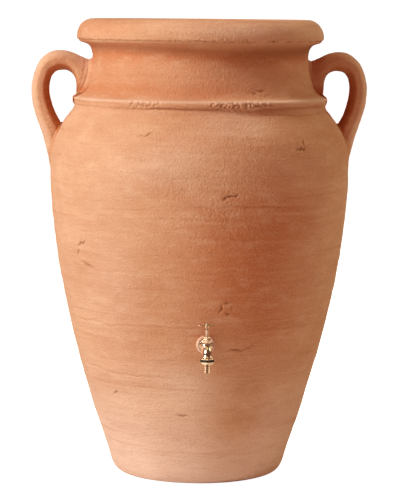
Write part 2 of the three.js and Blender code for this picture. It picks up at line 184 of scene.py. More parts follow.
def ramp(x, low, high):
    """0 below low, 1 above high, smooth between."""
    t = np.clip((x - low) / (high - low), 0, 1)
    return t * t * (3 - 2 * t)


# ---- meshes
def grid_faces(rows, columns):
    """Quads of a grid that closes round its columns."""
    i = np.arange(rows - 1)[:, None] * columns
    j = np.arange(columns)[None, :]
    k = (j + 1) % columns
    return np.stack([i + j, i + k, i + columns + k, i + columns + j], -1).reshape(-1, 4)


def fan(ring, pole, flip):
    """Triangles from a ring of vertex numbers to one pole."""
    after = np.roll(ring, -1)
    pair = (ring, after) if flip else (after, ring)
    return np.column_stack([*pair, np.full(len(ring), pole)])


def capped_faces(rows, columns):
    """Faces of a tube of vertex rings whose two end poles are numbered after the rings."""
    last = rows * columns
    return [
        grid_faces(rows, columns),
        fan(np.arange(columns), last, False),
        fan(np.arange(last - columns, last), last + 1, True),
    ]


def full_turn(count):
    """Even angles round a circle."""
    return np.linspace(0, 2 * math.pi, count, endpoint=False)


def spun(line, angles):
    """Vertices of a line of (radius, z) turned about Z, ring by ring."""
    turn = np.stack([np.sin(angles), -np.cos(angles)], -1)
    xy = line[:, None, 0, None] * turn[None]
    z = np.broadcast_to(line[:, None, 1:2], xy.shape[:2] + (1,))
    return np.concatenate([xy, z], -1).reshape(-1, 3)


def revolved(profile, angles):
    """Vertices and faces of a profile turned about Z, which starts and ends on the axis."""
    poles = [[0, 0, profile[0][1]], [0, 0, profile[-1][1]]]
    vertices = np.vstack([spun(profile[1:-1], angles), poles])
    return vertices, capped_faces(len(profile) - 2, len(angles))


def new_mesh(name, vertices, faces):
    """A smooth-shaded mesh object from vertices and a list of face arrays."""
    mesh = bpy.data.meshes.new(name)
    mesh.from_pydata(
        np.asarray(vertices).tolist(), [], [f for block in faces for f in block.tolist()]
    )
    mesh.validate()
    mesh.shade_smooth()
    mesh.update()
    return new_object(name, mesh)


def new_object(name, data):
    made = bpy.data.objects.new(name, data)
    bpy.context.scene.collection.objects.link(made)
    return made


def store(piece, name, values):
    """Keeps a number per vertex for the materials to read, with 0 for poles at the end."""
    full = np.zeros(len(piece.data.vertices), np.float32)
    full[:len(values)] = values
    piece.data.attributes.new(name, "FLOAT", "POINT").data.foreach_set("value", full)


def turned(name, profile, sides=96, radius=0.4, at=(0, 0, 0), axis="Z"):
    """A turned solid from a profile that starts and ends on its axis, in mm."""
    line = filleted(profile, radius) if radius else np.array(profile, float)
    vertices, faces = revolved(line * MM, full_turn(sides))
    return new_mesh(name, placed(vertices, at, axis), faces)


def placed(vertices, at, axis):
    """Points with their Z axis turned to an axis of the frame, then moved by at, in mm."""
    x, y, z = vertices.T
    turned_to = {"Z": (x, y, z), "-Y": (x, -z, y), "X": (z, y, -x)}
    return np.column_stack(turned_to[axis]) + np.array(at, float) * MM


def looped(name, profile, sides=96, radius=0.4, at=(0, 0, 0), axis="Z"):
    """A turned ring whose profile closes on itself, in mm."""
    start = (np.array(profile[0], float) + np.array(profile[1], float)) / 2
    line = filleted([start, *profile[1:], profile[0], start], radius)[:-1] * MM
    faces = grid_faces(len(line) + 1, sides) % (len(line) * sides)
    return new_mesh(name, placed(spun(line, full_turn(sides)), at, axis), [faces])


def rod(name, radius, low, high, at=(0, 0, 0), axis="Z", sides=48):
    """A plain round bar used to cut a hole, in mm."""
    return turned(name, [(0, low), (radius, low), (radius, high), (0, high)], sides, 0, at, axis)


def ring(name, inner, outer, low, high, at=(0, 0, 0), axis="Z", radius=0.3, sides=72):
    """A plain ring in mm."""
    profile = [(inner, low), (outer, low), (outer, high), (inner, high)]
    return creased(looped(name, profile, sides, radius, at, axis))


def points_of(piece):
    """A piece's vertices in mm."""
    return np.array([v.co for v in piece.data.vertices]) / MM


def hexed(name, profile, across_flats, at):
    """A looped ring whose outside is trimmed to a hexagon with a corner towards -Y."""
    made = looped(name, profile, 96, 0.25)
    xyz = points_of(made)
    reach = np.hypot(xyz[:, 0], xyz[:, 1])
    angle = np.degrees(np.arctan2(xyz[:, 0], -xyz[:, 1])) % 60
    limit = across_flats / 2 / np.cos(np.radians(angle - 30))
    xyz[:, :2] *= np.minimum(1, limit / reach)[:, None]
    made.data.vertices.foreach_set("co", ((xyz + at) * MM).ravel())
    return creased(made, 24)


def knurl(piece, low, high, beyond, count, depth):
    """Cuts upright flutes into the part of a turned piece outside a radius, all in mm."""
    xyz = points_of(piece)
    x, y, z = xyz.T
    reach = np.hypot(x, y)
    share = (reach > beyond) & (z > low) & (z < high)
    wave = 0.5 - 0.5 * np.cos(count * np.arctan2(x, -y))
    xyz[:, :2] *= (1 - np.where(share, depth * wave / np.maximum(reach, 1e-6), 0))[:, None]
    piece.data.vertices.foreach_set("co", (xyz * MM).ravel())


def move(piece, at):
    """Shifts a piece's mesh by a distance in mm."""
    piece.data.transform(Matrix.Translation(tuple(np.array(at, float) * MM)))


def slab(name, size, at, bevel):
    """A block with rounded edges, sizes and place in mm."""
    half = np.array(size, float) / 2
    corners = np.array([[x, y, z] for x in (-1, 1) for y in (-1, 1) for z in (-1, 1)])
    faces = np.array([
        [0, 1, 3, 2], [4, 6, 7, 5], [0, 4, 5, 1], [2, 3, 7, 6], [0, 2, 6, 4], [1, 5, 7, 3],
    ])
    made = new_mesh(name, (corners * half + np.array(at, float)) * MM, [faces])
    if bevel:
        edge = made.modifiers.new("edge", "BEVEL")
        edge.width = bevel * MM
        edge.segments = 4
        apply_modifiers(made)
    return made


def combined(first, others, operation="UNION"):
    """The first piece with the others joined to it or cut from it, which uses them up."""
    for other in others:
        step = first.modifiers.new("step", "BOOLEAN")
        step.object = other
        step.operation = operation
        step.solver = "MANIFOLD"
        apply_modifiers(first)
        bpy.data.objects.remove(other)
    return first


def bored(piece, tools):
    return combined(piece, tools, "DIFFERENCE")


def melt(piece, voxel, rounds):
    """Remeshes a piece evenly and smooths it, so that joined shapes flow like a casting."""
    grid = piece.modifiers.new("grid", "REMESH")
    grid.mode = "VOXEL"
    grid.voxel_size = voxel * MM
    grid.adaptivity = 0.0
    ease = piece.modifiers.new("ease", "SMOOTH")
    ease.factor = 0.5
    ease.iterations = rounds
    apply_modifiers(piece)


def apply_modifiers(piece):
    """Bakes the modifiers of a mesh into it."""
    bpy.context.view_layer.update()
    graph = bpy.context.evaluated_depsgraph_get()
    final = bpy.data.meshes.new_from_object(piece.evaluated_get(graph))
    piece.modifiers.clear()
    old = piece.data
    piece.data = final
    bpy.data.meshes.remove(old)
    final.name = piece.name


def creased(piece, degrees=35):
    """Smooth shading with edges sharper than this angle left hard."""
    piece.data.shade_smooth()
    piece.data.set_sharp_from_angle(angle=math.radians(degrees))
    return piece


def finish_piece(piece, look, body, node):
    """Gives a piece its material and body, and hides the CAD node it stands for."""
    material, slot = look
    piece.data.materials.clear()
    piece.data.materials.append(material)
    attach(piece, body)
    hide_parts(node)


# ---- materials
class Nodes:
    """The node tree of a material or a world, with a short way to add and link nodes."""

    def __init__(self, owner):
        owner.use_nodes = True
        self.owner = owner
        self.tree = owner.node_tree

    @property
    def object(self):
        """Object coordinates."""
        return self.add("ShaderNodeTexCoord").outputs["Object"]

    def add(self, kind, settings=None, **sockets):
        node = self.tree.nodes.new(kind)
        for key, value in (settings or {}).items():
            setattr(node, key, value)
        self.fill(node, sockets)
        return node

    def fill(self, node, sockets):
        """Links or sets a node's inputs, given by name or number."""
        for key, value in sockets.items():
            socket = node.inputs[key.replace("_", " ") if isinstance(key, str) else key]
            if isinstance(value, bpy.types.NodeSocket):
                self.tree.links.new(value, socket)
            else:
                socket.default_value = value

    def noise(self, stretch, detail, roughness):
        """Noise over the object coordinates scaled by (x, y, z)."""
        place = self.add("ShaderNodeMapping", Vector=self.object, Scale=stretch)
        sockets = {"Vector": place.outputs["Vector"], "Scale": 1.0, "Detail": detail}
        node = self.add("ShaderNodeTexNoise", Roughness=roughness, **sockets)
        return node.outputs["Fac"]

    def range(self, value, low, high, to_low=0.0, to_high=1.0):
        ends = {"From_Min": low, "From_Max": high, "To_Min": to_low, "To_Max": to_high}
        return self.add("ShaderNodeMapRange", Value=value, **ends).outputs["Result"]

    def math(self, operation, a, b=0.0):
        node = self.add("ShaderNodeMath", {"operation": operation})
        self.fill(node, {0: a, 1: b})
        return node.outputs["Value"]

    def mix(self, share, a, b):
        node = self.add("ShaderNodeMix", {"data_type": "RGBA"})
        self.fill(node, {0: share, 6: a, 7: b})
        return node.outputs[2]

    def tinted(self, colour, other, value, low, high, share):
        """A colour with up to a share of another, which grows as value goes from low to high."""
        return self.mix(self.range(value, low, high, 0.0, share), colour, other)

    def attribute(self, name):
        return self.add("ShaderNodeAttribute", {"attribute_name": name}).outputs["Fac"]

    def bump(self, height, strength, distance, normal=None):
        node = self.add("ShaderNodeBump", Height=height, Strength=strength, Distance=distance)
        if normal is not None:
            self.fill(node, {"Normal": normal})
        return node.outputs["Normal"]

    def surface(self, **sockets):
        """Feeds a material's shader, and gives the material."""
        self.fill(self.tree.nodes["Principled BSDF"], sockets)
        return self.owner


def material_nodes(name):
    return Nodes(bpy.data.materials.new(name))


def rgb(r, g, b):
    return (r, g, b, 1.0)


CLAY_ORANGE = rgb(0.59, 0.237, 0.112)
CLAY_LIGHT = rgb(0.69, 0.32, 0.169)
CLAY_DEEP_AND_SHADED = rgb(0.55, 0.150, 0.048)
CLAY_PALE_AND_LIT = rgb(0.94, 0.61, 0.46)
CLAY_BLOOM = rgb(0.80, 0.47, 0.30)
CLAY_DARK_BAND = rgb(0.50, 0.17, 0.065)
CLAY_PALE_BAND = rgb(0.80, 0.47, 0.29)
CLAY_STROKE = rgb(0.44, 0.15, 0.06)
CLAY_GRIT = rgb(0.36, 0.125, 0.055)
CLAY_SPECK = rgb(0.88, 0.62, 0.46)
CLAY_PAINTED_SHADE = rgb(0.34, 0.110, 0.040)


def terracotta(name, streak=1.0):
    """Matt fired-clay look: pale bloom over orange, turning lines, grit, painted shade in cracks
    and pits, and painted light and shade in the clay's tone.

    One vertex attribute runs from -1, deep orange, to 1, pale; both ends are partly the clay's own
    tone and partly painted shade and painted light. The other runs from 0 to 1, the full colour of
    the painted shade.
    """
    n = material_nodes(name)
    bands = n.noise((2.5, 2.5, 62), 5.0, 0.6)
    strokes = n.noise((16, 16, 190), 3.0, 0.6)
    clouds = n.noise((5, 5, 9), 4.0, 0.55)
    patches = n.noise((17, 17, 44), 4.0, 0.6)
    grit = n.noise((205, 205, 250), 3.0, 0.6)
    speck = n.noise((420, 420, 420), 2.0, 0.5)
    tone_and_painted_light = n.attribute("tone_and_painted_light")

    colour = n.mix(n.range(clouds, 0.34, 0.68), CLAY_ORANGE, CLAY_LIGHT)
    # Deep orange below 0 and pale above it: partly the clay's own tone, partly painted shade and
    # painted light.
    deep = n.math("MULTIPLY", n.range(tone_and_painted_light, 0.0, -1.0), n.range(patches, 0.2, 0.8, 1.15, 0.75))
    colour = n.mix(deep, colour, CLAY_DEEP_AND_SHADED)
    pale = n.math("MULTIPLY", n.range(tone_and_painted_light, 0.0, 1.0), n.range(patches, 0.2, 0.8, 0.8, 1.15))
    colour = n.mix(pale, colour, CLAY_PALE_AND_LIT)
    colour = n.tinted(colour, CLAY_BLOOM, patches, 0.52, 0.74, 0.28)
    colour = n.tinted(colour, CLAY_DARK_BAND, bands, 0.55, 0.76, 0.46 * streak)
    colour = n.tinted(colour, CLAY_PALE_BAND, bands, 0.45, 0.22, 0.17 * streak)
    colour = n.tinted(colour, CLAY_STROKE, strokes, 0.54, 0.80, 0.30 * streak)
    colour = n.tinted(colour, CLAY_GRIT, grit, 0.55, 0.74, 0.30)
    colour = n.tinted(colour, CLAY_SPECK, speck, 0.42, 0.26, 0.34)
    # Painted shade in cracks, pits, undercuts, under the rim and on the handles' inner faces.
    colour = n.mix(n.attribute("painted_shade"), colour, CLAY_PAINTED_SHADE)

    rough = n.range(grit, 0.3, 0.7, 0.82, 0.97)
    normal = n.bump(bands, 0.30 * streak, 1.5 * MM)
    normal = n.bump(strokes, 0.55 * streak, 0.9 * MM, normal)
    normal = n.bump(grit, 0.95, 2.6 * MM, normal)
    return n.surface(Base_Color=colour, Roughness=rough, Normal=normal, IOR=1.45,
                     Specular_IOR_Level=0.25)


def lid_clay():
    """Moulded plastic in a slightly browner clay colour."""
    n = material_nodes("lid_clay")
    clouds = n.noise((11, 11, 11), 5.0, 0.6)
    grain = n.noise((420, 420, 420), 3.0, 0.6)
    colour = n.mix(n.range(clouds, 0.35, 0.65), rgb(0.50, 0.20, 0.09), rgb(0.63, 0.29, 0.15))
    colour = n.tinted(colour, rgb(0.36, 0.14, 0.065), grain, 0.58, 0.75, 0.3)
    return n.surface(Base_Color=colour, Roughness=n.range(grain, 0.3, 0.7, 0.6, 0.78),
                     Normal=n.bump(grain, 0.35, 0.35 * MM))


def brass(name, duller=0.0):
    """Polished cast brass with faint tarnish and fine wear."""
    n = material_nodes(name)
    tarnish = n.noise((95, 95, 95), 5.0, 0.6)
    scratch = n.noise((900, 900, 2600), 2.0, 0.5)
    colour = n.mix(n.range(tarnish, 0.42, 0.74), rgb(0.98, 0.68, 0.50), rgb(0.74, 0.44, 0.27))
    rough = n.range(tarnish, 0.3, 0.7, 0.10 + duller, 0.22 + duller)
    return n.surface(Base_Color=colour, Metallic=1.0, Roughness=rough,
                     Normal=n.bump(scratch, 0.12, 0.08 * MM))


def grained(name, grain_size, detail, span, colours, gloss, dents, **sockets):
    """Two colours mixed by a stretched grain, which also sets the roughness and the dents."""
    n = material_nodes(name)
    grain = n.noise(grain_size, *detail)
    colour = n.mix(n.range(grain, *span), *colours)
    rough = n.range(grain, 0.3, 0.7, *gloss)
    return n.surface(Base_Color=colour, Roughness=rough, Normal=n.bump(grain, *dents), **sockets)


# A look is a material and the name of a record slot.
CLAY = terracotta("terracotta"), "terracotta_plastic"
HANDLE_CLAY = terracotta("terracotta_handle", streak=0.45), "terracotta_plastic"
LID_PLASTIC = lid_clay(), "lid_plastic"
LEDGE_PLASTIC = LID_PLASTIC[0], "terracotta_plastic"
BRASS = brass("polished_brass"), "brass"
CAST_BRASS = brass("cast_brass", duller=0.05), "brass"
RUBBER = grained(
    "black_rubber", (260, 260, 260), (4.0, 0.6), (0.45, 0.75),
    (rgb(0.030, 0.019, 0.010), rgb(0.085, 0.060, 0.038)), (0.6, 0.85), (0.3, 0.2 * MM),
    Specular_IOR_Level=0.15,
), "rubber"
FIBRE = grained(
    "red_fibre", (900, 900, 250), (4.0, 0.7), (0.35, 0.7),
    (rgb(0.13, 0.035, 0.02), rgb(0.26, 0.09, 0.05)), (0.85, 0.85), (0.4, 0.2 * MM),
), "fibre"
STEEL = grained(
    "stainless_steel", (700, 700, 2600), (3.0, 0.5), (0.35, 0.65),
    (rgb(0.52, 0.51, 0.49), rgb(0.67, 0.66, 0.64)), (0.2, 0.36), (0.15, 0.08 * MM), Metallic=1.0,
), "steel"

# ---- vessel skin
# Outlines of the skin, each with the mm between its rows and how much of the relief it takes.
SKIN_STRETCHES = [
    ([(60, 0), (130, 0), (188, 0)], 30, 0), (BASE_CORNER, 3, 0.4), (SIDE, 2.9, 1),
    (RIDGE, 1.5, 1), (NECK, 1.9, 1), (LIP, 1.4, 1), (RIM, 1.7, 1), (MOUTH, 3, 0),
    (HOLLOW_RIM, 8, 0), (INSIDE, 20, 0),
]
SKIN_COLUMNS = 660
FRONT_CROWDING = 0.75  # how much closer the columns lie at the front than at the back


def skin_profile():
    """The whole outline of the skin, and each point's share of the relief."""
    line, relief = [(0, 0)], [0.0]
    for points, step, share in SKIN_STRETCHES:
        if points is MOUTH or points is HOLLOW_RIM:
            made = evenly(filleted(points, 2.0), step)
        else:
            made = smooth_line(points, step)
        line.extend(made[:-1].tolist())
        relief.extend([share] * (len(made) - 1))
    line.extend([(196, 5), (130, 5), (60, 5), (0, 5)])
    relief.extend([0.0] * 4)
    return np.array(line), np.convolve(np.pad(relief, 2, mode="edge"), np.ones(5) / 5, "valid")


def crowded_angles(count, crowding):
    """Angles from the front, closer together at the front than at the back."""
    fine = np.linspace(-math.pi, math.pi, 4001)
    density = 1 + crowding * np.cos(fine)
    run = np.concatenate([[0], np.cumsum((density[1:] + density[:-1]) / 2)])
    return np.interp(np.arange(count) * run[-1] / count, run, fine)


# Marks in the clay, with angles in degrees from the front towards +X and lengths in mm.
# Cracks: (angle, height, half length, half width, tilt, depth).
CRACKS = [
    (-23.8, 879, 14, 1.7, 32, 2.4), (-26.6, 874, 8, 1.5, 4, 1.5), (38.4, 841, 23, 2.1, 10, 3),
    (40.4, 856, 8, 2.2, 78, 2.6), (8.1, 732, 17, 2, 16, 2.8), (6.2, 728, 5, 2.6, 0, 2.6),
    (10.3, 736, 6, 2.4, 20, 2.4), (-55, 603, 22, 2.3, 20, 3), (-58, 580, 11, 2.1, 70, 2.4),
    (-52.5, 551, 34, 3, -14, 1.8), (5.9, 459, 12, 2.2, 76, 2.6), (8.3, 474, 13, 2, 8, 2.1),
    (8.9, 446, 7, 2.2, 0, 2.4), (10.8, 461, 8, 1.6, 100, 1.2), (14, 352, 28, 2.3, -3, 2.3),
    (20, 360, 22, 2.6, 6, 1.4), (-49, 228, 12, 2, 10, 2.2), (-11, 184, 24, 2, -3, 2.1),
    (27, 980, 16, 2, 6, 1.8), (23, 973, 9, 1.8, -20, 1.5), (130, 620, 18, 2, 8, 2.2),
    (205, 480, 14, 2, -20, 1.8), (168, 830, 16, 2.2, 12, 2.2),
]
# Long shallow turning lines: (height, wander, from, to, depth).
TURNING_LINES = [
    (707, 3, 13, 26, 1.8), (676, 3, -22, 3, 0.9), (700, 5, -50, 10, 0.5), (655, 4, -8, 52, 0.6),
    (543, 5, -60, 12, 0.8), (524, 4, 4, 40, 0.6), (407, 6, -70, -10, 1.3), (388, 5, 12, 64, 0.9),
    (418, 4, 20, 58, 0.8), (281, 6, -60, -20, 1.2), (265, 5, -24, 10, 1), (276, 5, 16, 62, 0.9),
    (776, 5, -30, 46, 0.5), (575, 6, 96, 200, 0.9), (330, 6, 120, 250, 1),
]
# Rough broken stretches of the ridge and the rim's lip: (from, to, depth).
RIDGE_CHIPS = [(-34, -22, 2.6), (3, 28, 3.6), (-72, -62, 1.2), (108, 131, 2.6), (190, 214, 3)]
LIP_CHIPS = [(-34, 4, 1.4), (8, 34, 2), (-62, -44, 1.2), (96, 140, 1.8), (205, 230, 1.8)]
# Where the ridge is undercut: (from, to, depth, width).
UNDERCUTS = [(-24, 4, 3.6, 6), (26, 60, 5.2, 7.5), (100, 160, 3.4, 5), (185, 235, 3.8, 5)]
# Where the ridge is worn low: (from, to, depth).
WORN = [(-86, -50, 3.8), (78, 102, 2.8), (236, 262, 2)]
# Sandy patches with small pits: (angle, height, half angle, half height, strength).
SANDY = [
    (4, 692, 9, 30, 1), (-10, 676, 14, 10, 1), (27, 978, 7, 14, 1), (12, 640, 16, 60, 0.8),
    (33, 830, 9, 30, 0.9), (14, 740, 24, 110, 0.7), (45, 600, 18, 200, 0.45),
    (0, 1020, 60, 60, 0.35),
]
# Paler (above 0) and deeper orange patches: (strength, angle, half angle, height, half height).
# The deep ones, right of the front, are painted shade on the side turned from the key light.
TONE_PATCHES = [
    (0.12, -30, 24, 520, 170), (-1, 16, 26, 560, 205), (-0.3, 33, 12, 680, 60),
    (-0.3, 33, 12, 410, 60), (-0.3, 18, 14, 160, 55), (0.28, 13, 16, 895, 34),
    (0.3, -12, 18, 800, 60), (0.3, -8, 18, 280, 60),
]
# The same as bands: (strength, from, to, softness, height, half height). The first paints the
# rim's shadow on the right of the neck, the last paints shade on the rim's left.
TONE_BANDS = [
    (-0.25, 20, 90, 20, 1066, 24), (-0.55, -90, 5, 30, 975, 22), (0.16, 20, 90, 40, 1130, 24),
    (-0.22, -100, -50, 25, 1130, 24),
]
# Bands that run all the way round: (strength, height, half height). The first paints the rim's
# shadow on the neck, the third a highlight along the ridge's crest.
TONE_RINGS = [(-0.75, 1066, 24), (-0.3, 1020, 40), (0.6, 954, 5), (0.08, 1130, 24)]
# Dark shading under the rim: (strength, from, to, softness, height, half height).
RIM_SHADE = [(0.3, 0, 110, 60, 1077, 12), (0.72, 24, 80, 26, 1072, 18)]

RIDGE_FOOT = 930  # heights on the vessel in mm
RIDGE_MIDDLE = 944
RIDGE_TOP = 955
LIP_EDGE = 1097
RIM_FOOT = 1099
GROOVE_Z = 1004  # middle of the crease round a handle's upper root
GROOVE_HALF_WIDTH = 53
GROOVE_HALF_HEIGHT = 56


def window(angle, low, high, soft):
    """1 between two angles in degrees, falling to 0 within soft outside them."""
    middle, half = (low + high) / 2, (high - low) / 2
    away = np.abs((angle - middle + 180) % 360 - 180)
    return 1 - ramp(away, half, half + soft)


def around(angle, degrees, level):
    """Points on a circle, so that noise of this many degrees joins up after a full turn."""
    turn = np.radians(angle)
    radius = 360 / degrees / (2 * math.pi)
    x, y = radius * np.cos(turn), radius * np.sin(turn)
    return np.column_stack(np.broadcast_arrays(x, y, level))


def crack_depth(angle, r, z, crack):
    """How deep a jagged, tapering groove is at each point, in mm."""
    at, height, half, width, tilt, depth = crack
    across = np.radians((angle - at + 180) % 360 - 180) * r
    c, s = math.cos(math.radians(tilt)), math.sin(math.radians(tilt))
    u = across * c + (z - height) * s
    v = -across * s + (z - height) * c
    near = (np.abs(u) < 1.3 * half) & (np.abs(v) < 6 * width)
    made = np.zeros(len(r))
    along = np.column_stack(np.broadcast_arrays(u[near] / 7, height, 0))
    v_here = v[near] + 2.8 * layered(along, 41, 3)
    narrow = width * (1.25 - 0.5 * np.abs(u[near]) / half)
    made[near] = 1.3 * depth * bell(v_here, np.maximum(narrow, 0.8)) * bell(u[near], 0.8 * half)
    return made


def turning_line_depth(angle, z, line):
    height, wander, low, high, depth = line
    middle = height + wander * layered(around(angle, 14, height), 71, 3)
    step = bell(z - middle, 2.6) - 0.6 * bell(z - middle - 6, 4.0)
    return depth * step * window(angle, low, high, 12)


def root_groove(y, z):
    """Depth in mm of the crease that runs round the upper root of a handle."""
    reach = (np.abs(y) / GROOVE_HALF_WIDTH) ** 4 + (np.abs(z - GROOVE_Z) / GROOVE_HALF_HEIGHT) ** 4
    return 1.8 * bell((reach**0.25 - 1) * (GROOVE_HALF_WIDTH - 1), 2.6)


class Relief:
    """Height of the clay above its outline in mm, and how much painted shade each point takes."""

    def __init__(self, height):
        self.height = height
        self.dark = np.zeros(len(height))

    def cut(self, depth, dark=0.0):
        """Takes away a depth, and gives what it cuts painted shade."""
        self.height = self.height - depth
        self.dark = np.maximum(self.dark, dark)


def wear_ridge(relief, angle, z, rough):
    """The ridge's undercut foot, low stretches and crumbled spots, with painted shade in the
    undercut and the crumbled spots.
    """
    wander = 1.4 * layered(around(angle, 9, 0), 45, 3)
    for low, high, depth, width in UNDERCUTS:
        share = window(angle, low, high, 5)
        dark = 0.36 * share * bell(z - RIDGE_FOOT - 1 - wander, width)
        relief.cut(depth * share * bell(z - RIDGE_FOOT - wander, width), dark)
    for low, high, depth in WORN:
        relief.cut(depth * window(angle, low, high, 12) * bell(z - RIDGE_MIDDLE, 10))
    for low, high, depth in RIDGE_CHIPS:
        share = window(angle, low, high, 3) * bell(z - RIDGE_MIDDLE, 10)
        dark = 0.5 * share * ramp(rough, 0.25, 0.8)
        relief.cut(depth * share * np.clip(0.42 + 1.1 * rough, -0.25, 1.3), dark)


def wear_lip(relief, angle, z, xyz, rough):
    """The broken edge under the rim, with painted shade in its notches and chips, and the painted
    shadow of the rim on the neck below.
    """
    notched = ramp(layered(around(angle, 0.9, 7), 47, 3), -0.2, 0.5)
    share = bell(z - LIP_EDGE - 0.8 * noise(xyz / 9.0, 49), 1.3) * notched
    share *= 0.45 + 0.55 * window(angle, 15, 120, 35)
    relief.cut(2.1 * share, 0.62 * share)
    for strength, low, high, soft, level, tall in RIM_SHADE:
        relief.cut(0, strength * bell(z - level, tall) * window(angle, low, high, soft))
    for low, high, depth in LIP_CHIPS:
        share = window(angle, low, high, 5) * bell(z - RIM_FOOT, 5.0)
        dark = 0.5 * share * ramp(rough, 0.4, 0.9)
        relief.cut(depth * share * np.clip(0.2 + 1.1 * rough, 0, 1.2), dark)


def roughen(relief, angle, z, xyz):
    """Sandy lumps and small pits, strongest in the sandy patches; the pits take painted shade."""
    field = 0.4 * ramp(noise(xyz / [90, 90, 40], 65), 0.25, 0.8)
    for at, level, wide, tall, share in SANDY:
        field = np.maximum(field, share * bell(angle - at, wide) * bell(z - level, tall))
    relief.cut(-0.75 * field * layered(xyz / 5.2, 67, 2))
    sunk = field * ramp(noise(xyz / 5.2, 61), 0.5, 0.9)
    relief.cut(1.1 * sunk, 0.30 * sunk)


def clay_relief(angle, r, z, xyz):
    """Height of the clay and how much painted shade it takes at points on the outline, as Relief
    keeps them.
    """
    swell = 1.1 * layered(xyz / [230, 230, 120], 11, 2)
    rings = 0.55 * layered(xyz / [200, 200, 15], 21, 3)
    lumps = 0.34 * layered(xyz / [34, 34, 22], 31, 3)
    rough = layered(xyz / 4.8, 51, 3)
    relief = Relief(swell + rings + lumps)
    for line in TURNING_LINES:
        relief.cut(turning_line_depth(angle, z, line))
    for crack in CRACKS:
        depth = crack_depth(angle, r, z, crack)
        # Cracks take painted shade as they deepen.
        relief.cut(depth, 0.8 * np.clip(depth / 2.2 - 0.12, 0, 1))
    wear_ridge(relief, angle, z, rough)
    wear_lip(relief, angle, z, xyz, rough)
    relief.cut(ramp(z, RIDGE_TOP, RIDGE_TOP + 17) * root_groove(xyz[:, 1], z))
    roughen(relief, angle, z, xyz)
    return relief.height, relief.dark


def clay_tone_and_painted_light(angle, z):
    """How pale (up to 1) or deep orange (down to -1) the clay is at each point, partly as its own
    tone and partly as painted light and shade.
    """
    # Paler towards the foot, less so on the right: painted light bounced up from the floor.
    tone_and_painted_light = (0.66 - 0.20 * window(angle, 14, 100, 24)) * ramp(-z, -380, 10)
    # A little paler on the left below the neck: painted light on the side facing the key light.
    tone_and_painted_light += 0.08 * window(angle, -100, -44, 24) * ramp(-z, -1000, -900)
    for strength, at, wide, level, tall in TONE_PATCHES:
        tone_and_painted_light += strength * bell(angle - at, wide) * bell(z - level, tall)
    for strength, low, high, soft, level, tall in TONE_BANDS:
        tone_and_painted_light += strength * window(angle, low, high, soft) * bell(z - level, tall)
    for strength, level, tall in TONE_RINGS:
        tone_and_painted_light += strength * bell(z - level, tall)
    return np.clip(tone_and_painted_light, -1, 1)


def vessel_skin():
    """The whole moulded vessel, outside and inside, with its clay-like relief."""
    line, relief = skin_profile()
    angles = crowded_angles(SKIN_COLUMNS, FRONT_CROWDING)
    vertices, faces = revolved(line * MM, angles)
    inner = line[1:-1]
    slope = np.gradient(inner, axis=0)
    slope /= np.maximum(np.linalg.norm(slope, axis=1, keepdims=True), 1e-9)
    rows = np.column_stack([inner, slope[:, 1], -slope[:, 0], relief[1:-1]])
    r, z, out_r, out_z, share = np.repeat(rows, SKIN_COLUMNS, axis=0).T
    count = len(r)
    angle = np.tile(angles, len(inner))
    takes = share > 0
    height = np.zeros(count)
    dark = np.zeros(count)
    xyz = vertices[:count] / MM
    height[takes], dark[takes] = clay_relief(
        np.degrees(angle[takes]), r[takes], z[takes], xyz[takes]
    )
    height *= share
    new_r = np.minimum(r + out_r * height, BELLY_R - 0.05)
    new_z = np.clip(z + out_z * height, 0.0, HEIGHT)
    turn = np.column_stack([np.sin(angle), -np.cos(angle)])
    vertices[:count] = np.column_stack([turn * new_r[:, None], new_z]) * MM
    skin = new_mesh("vessel_skin", vertices, faces)
    # Painted shade in the relief's hollows and under the rim, then the tone with its painted light
    # and shade.
    store(skin, "painted_shade", dark * share)
    store(skin, "tone_and_painted_light", clay_tone_and_painted_light(np.degrees(angle), z))
    return skin


def bored_skin():
    """The skin with the hole that the tap's bush sits in."""
    drill = rod("drill", 16.3, -40, 40, TAP, "-Y", 72)
    return bored(vessel_skin(), [drill])


def outline_radius(z):
    """The outer skin's radius in mm at these heights in mm, without relief."""
    line = np.vstack([smooth_line(s, 2.0) for s in (BASE_CORNER, SIDE, RIDGE, NECK)])
    order = np.argsort(line[:, 1], kind="stable")
    return np.interp(z, line[order, 1], line[order, 0])


# ---- handles
HANDLE_RINGS = 260
HANDLE_SIDES = 96
INNER_EDGE = -0.28  # where the handle's flat sides end, from its inner (-1) to outer (1) face
OUTER_EDGE = 0.28
UPPER_FLARE = 9.0  # mm that a root spreads over the vessel
LOWER_FLARE = 6.0
UPPER_ROOT_Z = 1000.0
LOWER_ROOT_Z = 812.0
UPPER_RINGS = 0.42 * HANDLE_RINGS  # how many rings belong to the upper root


def handle_section(turn):
    """A strap with flat sides between two soft edges, as (outwards, sideways)."""
    out = np.cos(turn)
    side = np.sign(np.sin(turn))
    beyond = (out - OUTER_EDGE) / (1 - OUTER_EDGE)
    within = (INNER_EDGE - out) / (1 + INNER_EDGE)
    away = np.clip(np.maximum(beyond, within), 0, 1)
    return out, side * (1 - away**1.4) ** 0.62 * (1 - 0.04 * np.abs(out))


def handle_points():
    """Vertices of the right handle in mm, ring by ring, before its roots are flared."""
    track = smooth_line(HANDLE_SECTIONS, 2.0)
    pick = np.linspace(0, len(track) - 1, HANDLE_RINGS)
    rows = np.column_stack([np.interp(pick, np.arange(len(track)), c) for c in track.T])
    outer, inner, half = rows[:, 0:2], rows[:, 2:4], rows[:, 4]
    centre = (outer + inner) / 2
    reach = (outer - inner) / 2
    out, side = handle_section(full_turn(HANDLE_SIDES))
    x = centre[:, None, 0] + reach[:, None, 0] * out
    z = centre[:, None, 1] + reach[:, None, 1] * out
    y = half[:, None] * side
    return np.stack([x, y, z], -1).reshape(-1, 3), centre


